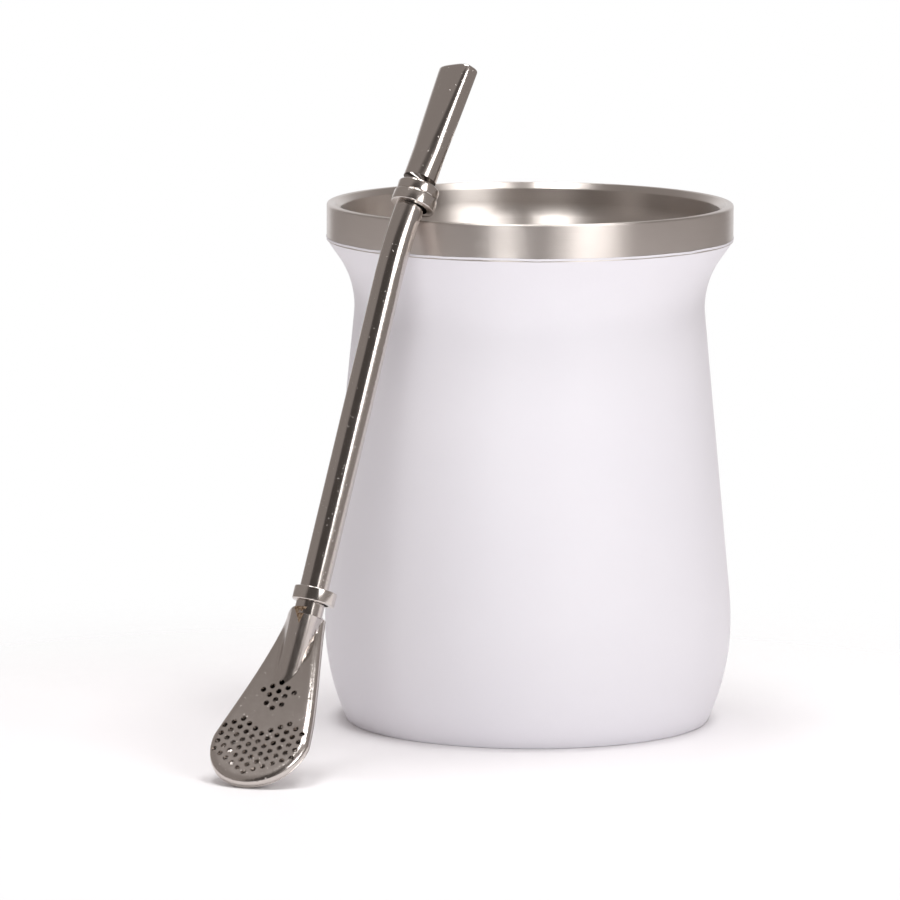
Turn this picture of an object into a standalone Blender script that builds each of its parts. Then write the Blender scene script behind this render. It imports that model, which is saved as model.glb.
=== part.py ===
"""Double-walled steel mate cup with a coated outside, and the metal drinking straw that leans on its rim.

Metres, +Z up. The origin is the middle of the flat base, on the cup's axis. The straw stands in front of the
cup and to its left: the tip of its filter spoon is on the ground, and its stem rests on the rim.
"""

import math

import bmesh
import bpy
from mathutils import Matrix, Vector

# Clearance between pieces that touch
GAP = 0.0003
SHEET = 0.0008

# Outside of the cup, from the ground up. Angles lean outwards from straight up.
CUP_HEIGHT = 0.1024
RIM_RADIUS = 0.0400
BELLY_RADIUS = 0.0401
BELLY_HEIGHT = 0.0198
BASE_ANGLE = math.radians(24.5)
BASE_FILLET = 0.0005
SHOULDER_RADIUS = 0.0575
CONE_ANGLE = math.radians(-5.5)
WAIST_START = 0.0805
WAIST_CURVE = 0.0170
FLARE_ANGLE = math.radians(35)
BAND_TURN = 0.0015
CUP_SIDES = 48

# Inside of the cup
WALL = 0.0032
FLOOR_HEIGHT = 0.0060
FLOOR_CORNER = 0.0060
LIP_INNER_RADIUS = 0.0372
LIP_DROP = 0.0012
LIP_LAND = 0.0010
LIP_EDGE = 0.0004

# Where the straw stands: the foot of its axis, and how the axis leans
STRAW_FOOT = (-0.04786, -0.06567, 0.00696)
STRAW_LEAN = math.radians(21.06)
STRAW_TOWARDS = math.radians(38.53)
STRAW_ROLL = math.radians(10.75)

# The stem, measured along its axis from the foot
STEM_RADIUS = 0.00278
TUBE_WALL = 0.0005
STEM_START = 0.0253
BEND_START = 0.0906
BEND_RADIUS = 0.0671
BEND_ANGLE = math.radians(12.1)
STEM_END = 0.1112
MOUTH_START = 0.1117
STRAW_END = 0.1363
TUBE_SIDES = 16

# The mouthpiece goes from round to a flattened oval
MOUTH_ROUND_RADIUS = 0.00322
MOUTH_HALF_WIDTH = 0.00445
MOUTH_HALF_DEPTH = 0.0021
MOUTH_SQUARENESS = 3.0
MOUTH_RINGS = 6

# The collars sit a little to the right of the stem's axis
COLLAR_ASIDE = 0.00045
COLLAR_BEVEL = 0.0003
COLLAR_SIDES = 24
LOWER_COLLAR = (0.0270, 0.0296)
LOWER_COLLAR_RADIUS = 0.00413
UPPER_COLLAR = (0.1060, 0.1114)
UPPER_COLLAR_STEP = 0.1087
UPPER_COLLAR_RADII = (0.00427, 0.00412)

# The filter spoon is pressed from sheet that curves forwards. Its pattern is given flat: X across, Y upwards.
SPOON_TILT = math.radians(25.7)
SPOON_CURVE = 0.112
SPOON_FORWARD = 0.00628
SPOON_ASIDE = -0.0003
SPOON_SKEW = math.radians(3.4)
SPOON_PIVOT = -0.0010
SPOON_NECK = (0.0038, 0.0265)
SPOON_NECK_HANDLE = (0.0048, 0.0188)
SPOON_BOWL_HANDLE = (0.0088, 0.0063)
SPOON_BOWL = (0.0100, -0.0011)
SPOON_TIP_LENGTH = 0.0106
SPOON_SHEET = 0.0006
SPOON_EDGE = 0.0009
SPOON_RIM = 0.0013
BACK_LIP = 0.0002
BACK_DEPTH_NECK = 0.0006
BACK_DEPTH_BOWL = 0.0022

# The stem runs on as a half cone that sinks into the spoon's front
NECK_CONE_FOOT = 0.0105
NECK_CONE_RADIUS = 0.0025
NECK_CONE_BACK = 0.0012

# The holes stand in staggered rows, a little askew on the spoon
HOLE_RADIUS = 0.00055
HOLE_PITCH = 0.00189
HOLE_SIDES = 8
LOWER_HOLES_START = 0.0
LOWER_HOLE_COLUMNS = ((0.0, 6), (-0.5, 6), (-1.0, 6), (-1.5, 6), (-1.0, 5), (-0.5, 4))
UPPER_HOLES_START = -6.16
UPPER_HOLE_COLUMNS = ((0.0, 4), (0.5, 3), (1.0, 1))


def clear_scene():
    for thing in list(bpy.data.objects):
        bpy.data.objects.remove(thing, do_unlink=True)


def make_material(name, colour, roughness, metallic):
    material = bpy.data.materials.new(name)
    material.use_nodes = True
    shader = material.node_tree.nodes["Principled BSDF"]
    shader.inputs["Base Color"].default_value = (*colour, 1.0)
    shader.inputs["Roughness"].default_value = roughness
    shader.inputs["Metallic"].default_value = metallic
    return material


def make_object(name, bm, material=None, parent=None, smooth_angle=40):
    """Turn a bmesh into an object of the scene, shaded smooth except at its corners."""
    bmesh.ops.recalc_face_normals(bm, faces=bm.faces)
    mesh = bpy.data.meshes.new(name)
    bm.to_mesh(mesh)
    bm.free()
    mesh.shade_smooth()
    mesh.set_sharp_from_angle(angle=math.radians(smooth_angle))
    thing = bpy.data.objects.new(name, mesh)
    bpy.context.scene.collection.objects.link(thing)
    thing.parent = parent
    if material:
        mesh.materials.append(material)
    return thing


def make_empty(name, location, rotation, parent=None):
    empty = bpy.data.objects.new(name, None)
    empty.empty_display_size = 0.01
    empty.location = location
    empty.rotation_euler = rotation
    empty.parent = parent
    bpy.context.scene.collection.objects.link(empty)
    return empty


def hide_cutter(cutter):
    cutter.hide_render = True
    cutter.display_type = "WIRE"
    return cutter


def add_boolean(thing, operation, other):
    boolean = thing.modifiers.new(other.name, "BOOLEAN")
    boolean.operation = operation
    boolean.solver = "EXACT"
    boolean.object = other


def arc(start, heading, new_heading, radius, steps):
    """Points after start on an arc in the (r, z) plane. A heading leans outwards from straight up."""
    side = 1 if new_heading > heading else -1
    points = []
    for step in range(1, steps + 1):
        angle = heading + (new_heading - heading) * step / steps
        out = side * radius * (math.cos(heading) - math.cos(angle))
        up = side * radius * (math.sin(angle) - math.sin(heading))
        points.append((start[0] + out, start[1] + up))
    return points


def cup_side():
    """The outside of the coated wall, from the middle of the base to the lower edge of the bare band."""
    fillet_top = BASE_FILLET * (1 - math.sin(BASE_ANGLE))
    belly_curve = (BELLY_HEIGHT - fillet_top) / math.sin(BASE_ANGLE)
    base_radius = BELLY_RADIUS - belly_curve * (1 - math.cos(BASE_ANGLE)) - BASE_FILLET * math.cos(BASE_ANGLE)
    points = [(0.0, 0.0), (base_radius, 0.0)]
    points += arc(points[-1], math.pi / 2, BASE_ANGLE, BASE_FILLET, 2)
    points += arc(points[-1], BASE_ANGLE, 0, belly_curve, 4)
    points += arc(points[-1], 0, CONE_ANGLE, SHOULDER_RADIUS, 2)
    cone_rise = WAIST_START - points[-1][1]
    points.append((points[-1][0] + cone_rise * math.tan(CONE_ANGLE), WAIST_START))
    points += arc(points[-1], CONE_ANGLE, FLARE_ANGLE, WAIST_CURVE, 5)
    flare_end = RIM_RADIUS - BAND_TURN * (1 - math.cos(FLARE_ANGLE))
    flare_rise = (flare_end - points[-1][0]) / math.tan(FLARE_ANGLE)
    points.append((flare_end, points[-1][1] + flare_rise))
    points += arc(points[-1], FLARE_ANGLE, 0, BAND_TURN, 2)
    return points


def inset(points, distance):
    """The same line moved inwards, to the left of the way it runs."""
    moved = []
    last = len(points) - 1
    for index, (r, z) in enumerate(points):
        before = Vector(points[max(index - 1, 0)])
        after = Vector(points[min(index + 1, last)])
        way = (after - before).normalized()
        moved.append((max(r - way.y * distance, 0.0), z + way.x * distance))
    moved[0] = (0.0, points[0][1] + distance)
    return moved


def turn_profile(profile, sides):
    """Spin a line in the (r, z) plane about Z. The line starts and ends on the axis, or is closed."""
    bm = bmesh.new()
    verts = [bm.verts.new((r, 0.0, z)) for r, z in profile]
    edges = [bm.edges.new(pair) for pair in zip(verts, verts[1:])]
    if profile[0][0] > 0:
        edges.append(bm.edges.new((verts[-1], verts[0])))
    bmesh.ops.spin(
        bm, geom=verts + edges, axis=(0, 0, 1), cent=(0, 0, 0), steps=sides, angle=math.tau, use_merge=True
    )
    bmesh.ops.remove_doubles(bm, verts=bm.verts, dist=1e-6)
    return bm


def build_shell(material):
    """The outer wall with its base, which carries the coating."""
    outside = cup_side()
    outside[-1] = (outside[-1][0], outside[-1][1] - GAP)
    inside = inset(outside, SHEET)
    inside[-1] = (outside[-1][0] - SHEET, outside[-1][1])
    return make_object("cup_shell", turn_profile(outside + inside[::-1], CUP_SIDES), material)


def liner_wall():
    """The inside of the cup, from the middle of its floor up to the lip."""
    side = inset(cup_side()[:-2], WALL)
    side = [point for point in side[1:] if point[1] > FLOOR_HEIGHT + FLOOR_CORNER * 0.8]
    heading = math.atan2(side[1][0] - side[0][0], side[1][1] - side[0][1])
    corner = (side[0][1] - FLOOR_HEIGHT) / (1 - math.sin(heading))
    floor_radius = side[0][0] - corner * math.cos(heading)
    floor = [(0.0, FLOOR_HEIGHT), (floor_radius, FLOOR_HEIGHT)]
    floor += arc(floor[-1], math.pi / 2, heading, corner, 4)
    return floor[:-1] + side


def build_liner(material):
    """The inner wall, the rounded lip and the bare band round the rim, in one turned piece."""
    inside = liner_wall()
    lip_side = (LIP_INNER_RADIUS, CUP_HEIGHT - LIP_DROP)
    land_out = RIM_RADIUS - LIP_EDGE
    lip = [lip_side, (land_out - LIP_LAND, CUP_HEIGHT), (land_out, CUP_HEIGHT)]
    lip += arc(lip[-1], math.pi / 2, math.pi, LIP_EDGE, 2)
    seam = cup_side()[-1][1]
    skirt = [(RIM_RADIUS, seam), (RIM_RADIUS - SHEET, seam), (RIM_RADIUS - SHEET, lip_side[1] - SHEET)]
    outside = [(r, z - SHEET) if index < 2 else (r + SHEET, z) for index, (r, z) in enumerate(inside)]
    outside.append((LIP_INNER_RADIUS + SHEET, lip_side[1] - SHEET))
    profile = inside + lip + skirt + outside[::-1]
    return make_object("steel_liner", turn_profile(profile, CUP_SIDES), material)


def stem_place(distance):
    """A point of the straw's axis in the straw's own frame, and how far the axis has bent back there."""
    along = min(distance, BEND_START)
    bent = max(0.0, min(distance - BEND_START, BEND_RADIUS * BEND_ANGLE))
    past = max(0.0, distance - BEND_START - BEND_RADIUS * BEND_ANGLE)
    angle = bent / BEND_RADIUS
    back = BEND_RADIUS * (1 - math.cos(angle)) + past * math.sin(angle)
    up = along + BEND_RADIUS * math.sin(angle) + past * math.cos(angle)
    return Vector((0.0, back, up)), angle


def oval(distance, half_width, half_depth, power, sides):
    """A closed line across the straw's axis, round at power 2 and flatter above it."""
    centre, angle = stem_place(distance)
    deep = Vector((0.0, math.cos(angle), -math.sin(angle)))
    points = []
    for side in range(sides):
        turn = math.tau * side / sides
        across = math.copysign(abs(math.cos(turn)) ** (2 / power), math.cos(turn))
        through = math.copysign(abs(math.sin(turn)) ** (2 / power), math.sin(turn))
        points.append(centre + Vector((half_width * across, 0.0, 0.0)) + deep * half_depth * through)
    return points


def skin_rings(rings):
    """Join each closed line to the next, and the last to the first."""
    bm = bmesh.new()
    loops = [[bm.verts.new(point) for point in ring] for ring in rings]
    for loop, following in zip(loops, loops[1:] + loops[:1]):
        for index in range(len(loop)):
            ahead = (index + 1) % len(loop)
            bm.faces.new((loop[index], loop[ahead], following[ahead], following[index]))
    return bm


def build_stem(parent, material):
    """The long tube: straight, then bent back in an even curve above the rim."""
    bend_end = BEND_START + BEND_RADIUS * BEND_ANGLE
    stations = [STEM_START] + [BEND_START + (bend_end - BEND_START) * step / 5 for step in range(6)]
    stations.append(STEM_END)
    bore = STEM_RADIUS - TUBE_WALL
    outside = [oval(station, STEM_RADIUS, STEM_RADIUS, 2, TUBE_SIDES) for station in stations]
    inside = [oval(station, bore, bore, 2, TUBE_SIDES) for station in reversed(stations)]
    return make_object("straw_stem", skin_rings(outside + inside), material, parent)


def build_mouthpiece(parent, material):
    """The end held in the lips: round at the collar, wide and flat at the tip, with a rounded edge."""
    outside = []
    inside = []
    for step in range(MOUTH_RINGS):
        part = step / (MOUTH_RINGS - 1)
        station = MOUTH_START + (STRAW_END - TUBE_WALL - MOUTH_START) * part
        wide = MOUTH_ROUND_RADIUS + (MOUTH_HALF_WIDTH - MOUTH_ROUND_RADIUS) * part
        deep = MOUTH_ROUND_RADIUS + (MOUTH_HALF_DEPTH - MOUTH_ROUND_RADIUS) * part
        power = 2 + (MOUTH_SQUARENESS - 2) * part
        outside.append(oval(station, wide, deep, power, TUBE_SIDES))
        inside.append(oval(station, wide - TUBE_WALL, deep - TUBE_WALL, power, TUBE_SIDES))
    middle = TUBE_WALL / 2
    edge = oval(
        STRAW_END, MOUTH_HALF_WIDTH - middle, MOUTH_HALF_DEPTH - middle, MOUTH_SQUARENESS, TUBE_SIDES
    )
    rings = outside + [edge] + inside[::-1]
    return make_object("straw_mouthpiece", skin_rings(rings), material, parent)


def build_collar(name, corners, parent, material):
    """A ring round the stem. Its outside corners are (distance, radius) from the bottom up."""
    outside = [oval(distance, radius, radius, 2, COLLAR_SIDES) for distance, radius in corners]
    rings = [[point + Vector((COLLAR_ASIDE, 0.0, 0.0)) for point in ring] for ring in outside]
    bore = STEM_RADIUS + GAP
    for distance in (corners[-1][0], corners[0][0]):
        rings.append(oval(distance, bore, bore, 2, COLLAR_SIDES))
    return make_object(name, skin_rings(rings), material, parent)


def build_collars(parent, material):
    """The ring above the filter, and the stepped ring below the mouthpiece."""
    start, end = LOWER_COLLAR
    radius = LOWER_COLLAR_RADIUS
    lower = [(start, radius - COLLAR_BEVEL), (start + COLLAR_BEVEL, radius)]
    lower += [(end - COLLAR_BEVEL, radius), (end, radius - COLLAR_BEVEL)]
    build_collar("lower_collar", lower, parent, material)

    start, end = UPPER_COLLAR
    wide, narrow = UPPER_COLLAR_RADII
    upper = [(start, wide - COLLAR_BEVEL), (start + COLLAR_BEVEL, wide), (UPPER_COLLAR_STEP, wide)]
    upper += [(UPPER_COLLAR_STEP + COLLAR_BEVEL / 2, narrow)]
    upper += [(end - COLLAR_BEVEL, narrow), (end, narrow - COLLAR_BEVEL)]
    build_collar("upper_collar", upper, parent, material)


def cubic(ends, amount):
    """A point of the Bezier curve with these four control points."""
    rest = 1 - amount
    weights = (rest**3, 3 * rest**2 * amount, 3 * rest * amount**2, amount**3)
    return tuple(sum(weight * end[axis] for weight, end in zip(weights, ends)) for axis in (0, 1))


def spoon_outline(side_steps=9, tip_steps=12):
    """The spoon's outline in its own plane: X across, Y towards the stem."""
    controls = (SPOON_NECK, SPOON_NECK_HANDLE, SPOON_BOWL_HANDLE, SPOON_BOWL)
    side = [cubic(controls, step / side_steps) for step in range(side_steps + 1)]
    tip = []
    for step in range(1, tip_steps):
        turn = math.pi * step / tip_steps
        tip.append((SPOON_BOWL[0] * math.cos(turn), SPOON_BOWL[1] - SPOON_TIP_LENGTH * math.sin(turn)))
    return side + tip + [(-x, y) for x, y in reversed(side)]


def inset_outline(points, distance):
    """A closed outline moved inwards by one distance all round."""
    moved = []
    count = len(points)
    for index, (x, y) in enumerate(points):
        before = (Vector((x, y)) - Vector(points[index - 1])).normalized()
        after = (Vector(points[(index + 1) % count]) - Vector((x, y))).normalized()
        way = (before + after).normalized()
        reach = distance / max(way.dot(after), 0.5)
        moved.append((x + way.y * reach, y - way.x * reach))
    return moved


def skewed(x, y):
    """A point of the flat pattern once the whole spoon is turned a little in its own plane."""
    turned = Matrix.Rotation(SPOON_SKEW, 2) @ Vector((x, y - SPOON_PIVOT))
    return turned.x, turned.y + SPOON_PIVOT


def spoon_tilt(y):
    """How far the spoon leans forwards from the stem at a height of its flat pattern."""
    return SPOON_TILT - y / SPOON_CURVE


def on_spoon(x, y, z):
    """A point of the spoon's flat pattern, z in front of it, in the straw's own frame."""
    x, y = skewed(x, y)
    tilt = spoon_tilt(y)
    forward = SPOON_FORWARD + SPOON_CURVE * (math.cos(SPOON_TILT) - math.cos(tilt))
    up = SPOON_CURVE * (math.sin(SPOON_TILT) - math.sin(tilt))
    return Vector((x + SPOON_ASIDE, -forward - z * math.cos(tilt), up + z * math.sin(tilt)))


def sheet_of_rings(outline, levels):
    """A dished sheet: levels are (inset, height rule) from the edge to the middle, which strips fill."""
    bm = bmesh.new()
    loops = []
    for distance, height in levels:
        ring = [on_spoon(x, y, height(y)) for x, y in inset_outline(outline, distance)]
        loops.append([bm.verts.new(point) for point in ring])
    for loop, inner in zip(loops, loops[1:]):
        for index in range(len(loop)):
            ahead = (index + 1) % len(loop)
            bm.faces.new((loop[index], loop[ahead], inner[ahead], inner[index]))
    middle = loops[-1]
    last = len(middle) - 1
    tip = last // 2
    for index in range(tip - 1):
        bm.faces.new((middle[index], middle[index + 1], middle[last - index - 1], middle[last - index]))
    bm.faces.new((middle[tip - 1], middle[tip], middle[tip + 1]))
    return bm


def hole_places():
    """The middle of each hole in the flat pattern. Columns are half a pitch out of step."""
    column_step = HOLE_PITCH * math.sqrt(3) / 2
    places = []
    groups = ((LOWER_HOLES_START, LOWER_HOLE_COLUMNS), (UPPER_HOLES_START, UPPER_HOLE_COLUMNS))
    for group_start, columns in groups:
        for column, (start, count) in enumerate(columns):
            for side in ((1, -1) if column else (1,)):
                for row in range(count):
                    across = side * column * column_step
                    places.append((across, -(group_start + start + row) * HOLE_PITCH))
    return places


def add_neck_cylinder(bm, low, high, top_radius, foot_radius):
    """A cone along the neck, between two heights, whose foot is set back behind the stem's axis."""
    slope = math.atan2(NECK_CONE_BACK, STEM_START - NECK_CONE_FOOT)
    made = bmesh.ops.create_cone(
        bm, cap_ends=True, segments=TUBE_SIDES, radius1=foot_radius, radius2=top_radius, depth=high - low
    )
    middle = (low + high) / 2
    back = (STEM_START - middle) * math.tan(slope)
    place = Matrix.Translation((0, back, middle)) @ Matrix.Rotation(slope, 4, "X")
    bmesh.ops.transform(bm, matrix=place, verts=made["verts"])


def build_neck_cone(straw):
    """The half cone, cut off just inside the spoon's front sheet."""
    bm = bmesh.new()
    add_neck_cylinder(bm, NECK_CONE_FOOT, STEM_START - GAP, STEM_RADIUS, NECK_CONE_RADIUS)
    depth = SPOON_SHEET * 0.8
    high = on_spoon(0, SPOON_NECK[1], -depth)
    low = on_spoon(0, NECK_CONE_FOOT, -depth)
    along = high - low
    bmesh.ops.bisect_plane(
        bm,
        geom=bm.verts[:] + bm.edges[:] + bm.faces[:],
        plane_co=low,
        plane_no=Vector((0, -along.z, along.y)),
        clear_inner=True,
    )
    rim = [edge for edge in bm.edges if edge.is_boundary]
    bmesh.ops.edgeloop_fill(bm, edges=rim)
    return hide_cutter(make_object("neck_cone", bm, parent=straw))


def build_neck_bore(straw):
    """The way from the stem's bore into the space between the spoon's two sheets."""
    bm = bmesh.new()
    low = NECK_CONE_FOOT + 0.002
    high = STEM_START + 0.001
    add_neck_cylinder(bm, low, high, STEM_RADIUS - TUBE_WALL, NECK_CONE_RADIUS - TUBE_WALL)
    return hide_cutter(make_object("neck_bore", bm, parent=straw))


def build_hole_punch(straw):
    bm = bmesh.new()
    depth = SPOON_SHEET * 4
    for x, y in hole_places():
        made = bmesh.ops.create_cone(
            bm, cap_ends=True, segments=HOLE_SIDES, radius1=HOLE_RADIUS, radius2=HOLE_RADIUS, depth=depth
        )
        turn = Matrix.Rotation(math.pi / 2 - spoon_tilt(y), 4, "X")
        place = Matrix.Translation(on_spoon(x, y, -SPOON_SHEET / 2)) @ turn
        bmesh.ops.transform(bm, matrix=place, verts=made["verts"])
    return hide_cutter(make_object("hole_punch", bm, parent=straw))


def add_sheet_thickness(thing):
    solidify = thing.modifiers.new("sheet", "SOLIDIFY")
    solidify.thickness = SPOON_SHEET
    solidify.offset = -1
    solidify.use_even_offset = True


def build_filter(straw, material):
    """The perforated front and the dished back of the filter spoon, each pressed from sheet."""
    outline = spoon_outline()
    corner = SPOON_EDGE * (1 - math.sqrt(0.5))
    front_levels = [
        (0.0, lambda y: -SPOON_RIM),
        (0.0, lambda y: -SPOON_EDGE),
        (corner, lambda y: -corner),
        (SPOON_EDGE, lambda y: 0.0),
    ]
    front = make_object("filter_front", sheet_of_rings(outline, front_levels), material, straw)
    add_sheet_thickness(front)
    add_boolean(front, "UNION", build_neck_cone(straw))
    add_boolean(front, "DIFFERENCE", build_neck_bore(straw))
    add_boolean(front, "DIFFERENCE", build_hole_punch(straw))

    edge = -(SPOON_RIM + GAP)
    lip = edge - BACK_LIP

    def back_level(share):
        def height(y):
            down = min(max((SPOON_NECK[1] - y) / (SPOON_NECK[1] - SPOON_BOWL[1]), 0.0), 1.0)
            ease = down * down * (3 - 2 * down)
            return lip - share * (BACK_DEPTH_NECK + (BACK_DEPTH_BOWL - BACK_DEPTH_NECK) * ease)

        return height

    back_levels = [
        (0.0, lambda y: edge),
        (0.0, back_level(0.0)),
        (0.0005, back_level(0.24)),
        (0.0014, back_level(0.55)),
        (0.0023, back_level(0.90)),
        (0.0031, back_level(1.0)),
    ]
    back = make_object("filter_back", sheet_of_rings(outline, back_levels), material, straw)
    add_sheet_thickness(back)


def main():
    clear_scene()
    coating = make_material("white_coating", (0.82, 0.80, 0.84), 0.55, 0.0)
    brushed = make_material("brushed_steel", (0.55, 0.50, 0.46), 0.35, 1.0)
    polished = make_material("polished_steel", (0.50, 0.46, 0.43), 0.15, 1.0)
    build_shell(coating)
    build_liner(brushed)

    lean = make_empty("straw_lean", STRAW_FOOT, (-STRAW_LEAN, 0, -STRAW_TOWARDS))
    straw = make_empty("straw_axis", (0, 0, 0), (0, 0, STRAW_ROLL), lean)
    build_stem(straw, polished)
    build_mouthpiece(straw, polished)
    build_collars(straw, polished)
    build_filter(straw, polished)


main()
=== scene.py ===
# %% [markdown]
# # A steel mate cup and its filter straw
# The object is a double-walled steel cup for drinking mate, coated white on the outside, with a bare steel
# band round its rim. A steel straw leans on the rim. Its lower end is a spoon-shaped filter with small holes.
# Everything here is drawn in millimetres and scaled to metres at the end of each piece, because the sizes of
# such small parts are easier to read that way.

# %% Load the measured solids
import math

import bmesh
import bpy
from mathutils import Matrix, Vector, noise
from mathutils.geometry import interpolate_bezier, intersect_point_line
from mathutils.kdtree import KDTree


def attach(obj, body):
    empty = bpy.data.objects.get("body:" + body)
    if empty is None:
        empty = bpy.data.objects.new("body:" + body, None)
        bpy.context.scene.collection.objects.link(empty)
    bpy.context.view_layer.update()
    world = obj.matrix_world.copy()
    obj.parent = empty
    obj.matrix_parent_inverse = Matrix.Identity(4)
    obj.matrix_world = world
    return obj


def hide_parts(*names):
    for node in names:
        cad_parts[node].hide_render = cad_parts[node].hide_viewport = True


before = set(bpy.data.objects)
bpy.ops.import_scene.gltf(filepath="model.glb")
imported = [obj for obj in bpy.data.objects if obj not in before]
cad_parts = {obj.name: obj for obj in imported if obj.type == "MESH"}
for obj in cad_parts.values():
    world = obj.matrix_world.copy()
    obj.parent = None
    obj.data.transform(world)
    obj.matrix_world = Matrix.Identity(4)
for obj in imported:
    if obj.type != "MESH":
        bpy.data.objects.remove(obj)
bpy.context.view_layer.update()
MM = 0.001
print("solids:", sorted(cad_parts))

# %% [markdown]
# ## The viewpoint
# A long lens from about a metre and a half keeps the cup's sides almost parallel, as in a catalogue picture.
# The camera looks slightly down into the rim, and is turned by a quarter of a degree.

# %% Place the camera
CAMERA_PLACE = (-0.01552, -1.45475, 0.25907)
LOOK_DOWN, CAMERA_ROLL = 8.05, 0.246
FOCAL_LENGTH = 298.06
lens = bpy.data.cameras.new("viewpoint")
lens.sensor_width = 36
lens.lens = FOCAL_LENGTH
camera = bpy.data.objects.new("viewpoint", lens)
bpy.context.scene.collection.objects.link(camera)
look_down = Matrix.Rotation(math.radians(90 - LOOK_DOWN), 4, "X")
camera_roll = Matrix.Rotation(math.radians(CAMERA_ROLL), 4, "Z")
camera.matrix_world = Matrix.Translation(CAMERA_PLACE) @ look_down @ camera_roll
bpy.context.scene.camera = camera
print("camera distance:", round(camera.location.length, 3), "m")

# %% [markdown]
# ## A pen for profiles
# A turned piece is one line, its profile, spun round an axis. These helpers draw the profile the way a pen
# would: a straight run is an extruded vertex, and a rounded corner is a vertex spun round the corner's
# centre. A lean is the pen's heading in degrees: 0 is straight up, 90 is outwards, 180 is straight down.


# %% Draw a profile with a pen
def pen_down(bm, r, z):
    """Start a line at radius r and height z."""
    return bm.verts.new((r, 0, z))


def run_to(bm, pen, r, z):
    """A straight line to this radius and height."""
    pen = bmesh.ops.extrude_vert_indiv(bm, verts=[pen])["verts"][0]
    pen.co = (r, 0, z)
    return pen


def run_along(bm, pen, lean, length):
    """A straight line of this length, along the pen's heading."""
    lean = math.radians(lean)
    return run_to(bm, pen, pen.co.x + length * math.sin(lean), pen.co.z + length * math.cos(lean))


def bend_to(bm, pen, lean, new_lean, radius, steps):
    """A round bend from one heading to another."""
    side = math.copysign(radius, new_lean - lean)
    centre = pen.co + side * Vector((math.cos(math.radians(lean)), 0, -math.sin(math.radians(lean))))
    turn = math.radians(new_lean - lean)
    bent = bmesh.ops.spin(bm, geom=[pen], cent=centre, axis=(0, 1, 0), angle=turn, steps=steps)
    return [thing for thing in bent["geom_last"] if isinstance(thing, bmesh.types.BMVert)][0]


def turn_on_lathe(bm, sides):
    """Spin the whole profile round the upright axis into a closed skin."""
    line = bm.verts[:] + bm.edges[:]
    centre = (0, 0, 0)
    bmesh.ops.spin(bm, geom=line, cent=centre, axis=(0, 0, 1), angle=math.tau, steps=sides, use_merge=True)
    bmesh.ops.remove_doubles(bm, verts=bm.verts, dist=1e-4)


# %% [markdown]
# ## Finishing a piece
# Every piece ends the same way: its normals are made to point outwards, a tube gets its wall, each vertex
# remembers where it was in the piece's own frame, so that a finish can follow the straw as it leans, and the
# mesh is moved to its place and scaled to metres.


# %% Turn a drawing into a piece
def make_piece(name, bm, finish, node, place=Matrix.Identity(4), wall=0, crease=35):
    """Put a finished drawing in the scene, in place of one of the measured solids."""
    bmesh.ops.recalc_face_normals(bm, faces=bm.faces)
    if wall:
        bmesh.ops.solidify(bm, geom=bm.faces[:], thickness=wall)
    own_place = bm.verts.layers.float_vector.new("own_place")
    for vert in bm.verts:
        vert[own_place] = vert.co
    bmesh.ops.transform(bm, matrix=Matrix.Scale(MM, 4) @ place, verts=bm.verts)
    mesh = bpy.data.meshes.new(name)
    bm.to_mesh(mesh)
    bm.free()
    mesh.shade_smooth()
    mesh.set_sharp_from_angle(angle=math.radians(crease))
    mesh.materials.append(finish)
    piece = bpy.data.objects.new(name, mesh)
    bpy.context.scene.collection.objects.link(piece)
    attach(piece, "root")
    if node:
        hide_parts(node)
    size = [round(side / MM, 1) for side in piece.dimensions]
    print(name, len(mesh.polygons), "faces,", size, "mm")
    return piece


# %% [markdown]
# ## Nodes for finishes
# A finish is a Principled shader with a few nodes in front of it. These two helpers keep the finishes short:
# one starts a finish, the other adds a node and sets its values.


# %% Start a finish and add nodes to it
def start_finish(name, colour, metallic, roughness):
    finish = bpy.data.materials.new(name)
    finish.use_nodes = True
    shader = finish.node_tree.nodes["Principled BSDF"]
    shader.inputs["Base Color"].default_value = (*colour, 1)
    shader.inputs["Metallic"].default_value = metallic
    shader.inputs["Roughness"].default_value = roughness
    return finish, shader


def add_node(finish, kind, values=None, **settings):
    node = finish.node_tree.nodes.new(kind)
    for setting, choice in settings.items():
        setattr(node, setting, choice)
    for socket, value in (values or {}).items():
        node.inputs[socket].default_value = value
    return node


def join(finish, source, target):
    finish.node_tree.links.new(source, target)


# %% [markdown]
# ## The powder coating
# Powder coating is sprayed on dry and baked, so it has a very fine orange-peel skin and a soft satin shine.
# Two layers of noise make the bump: one for the peel and a finer one for the grain of the powder. A third,
# much wider one makes the white a little uneven.


# %% Make the coating
def bump_from(finish, height, distance, strength, below=None):
    """A bump whose full height is this distance in millimetres, on top of another bump."""
    bump = add_node(finish, "ShaderNodeBump", {"Distance": distance * MM, "Strength": strength})
    join(finish, height, bump.inputs["Height"])
    if below:
        join(finish, below.outputs["Normal"], bump.inputs["Normal"])
    return bump


def place_in_mm(finish):
    """Object coordinates in millimetres."""
    where = add_node(finish, "ShaderNodeTexCoord")
    scale = add_node(finish, "ShaderNodeMapping", {"Scale": [1 / MM] * 3})
    join(finish, where.outputs["Object"], scale.inputs["Vector"])
    return scale.outputs["Vector"]


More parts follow.
